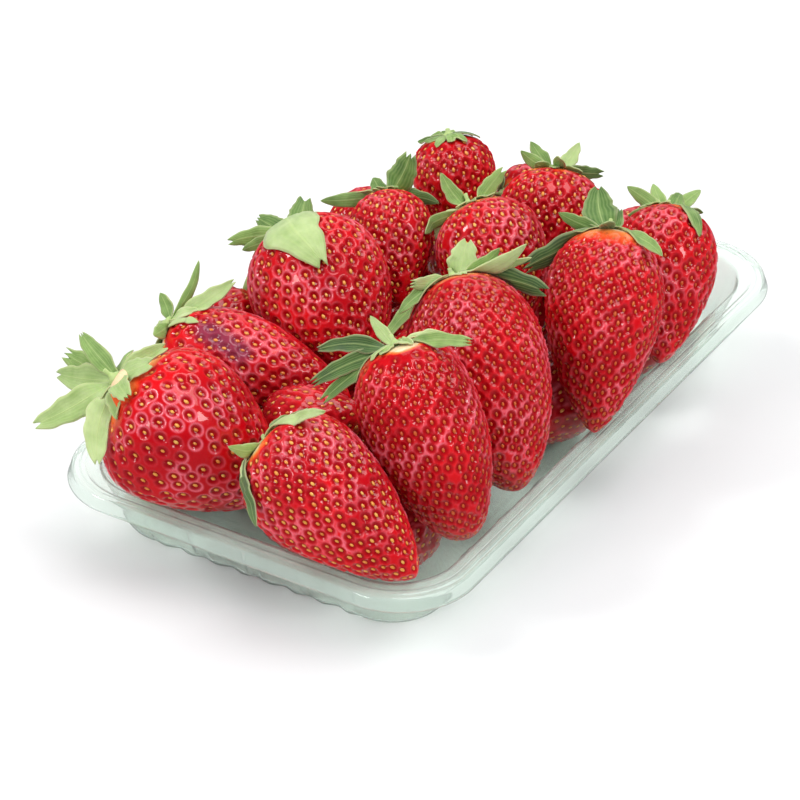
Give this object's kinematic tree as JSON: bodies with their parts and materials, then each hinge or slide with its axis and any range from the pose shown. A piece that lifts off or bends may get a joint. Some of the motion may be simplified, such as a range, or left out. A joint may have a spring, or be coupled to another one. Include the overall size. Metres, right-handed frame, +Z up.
{
  "type": "punnet of strawberries",
  "caption": "Shallow clear plastic punnet with a flat flange, heaped with large ripe strawberries that keep their green calyxes.",
  "frame": {"origin": "centre of the tray's flat base, on the surface it rests on", "axes": "+Z up, +Y along the tray's long side, +X across it towards the side where the large berries lean out"},
  "size_m": [0.1148, 0.1971, 0.0674],
  "materials": {
    "clear_plastic": "clear, glossy, faintly green",
    "berry_skin": "glossy dimpled red skin",
    "achene": "satin yellow seed",
    "calyx_leaf": "soft green leaf"
  },
  "bodies": {
    "root": {"tray": "clear_plastic", "strawberries": "berry_skin"}
  },
  "joints": []
}
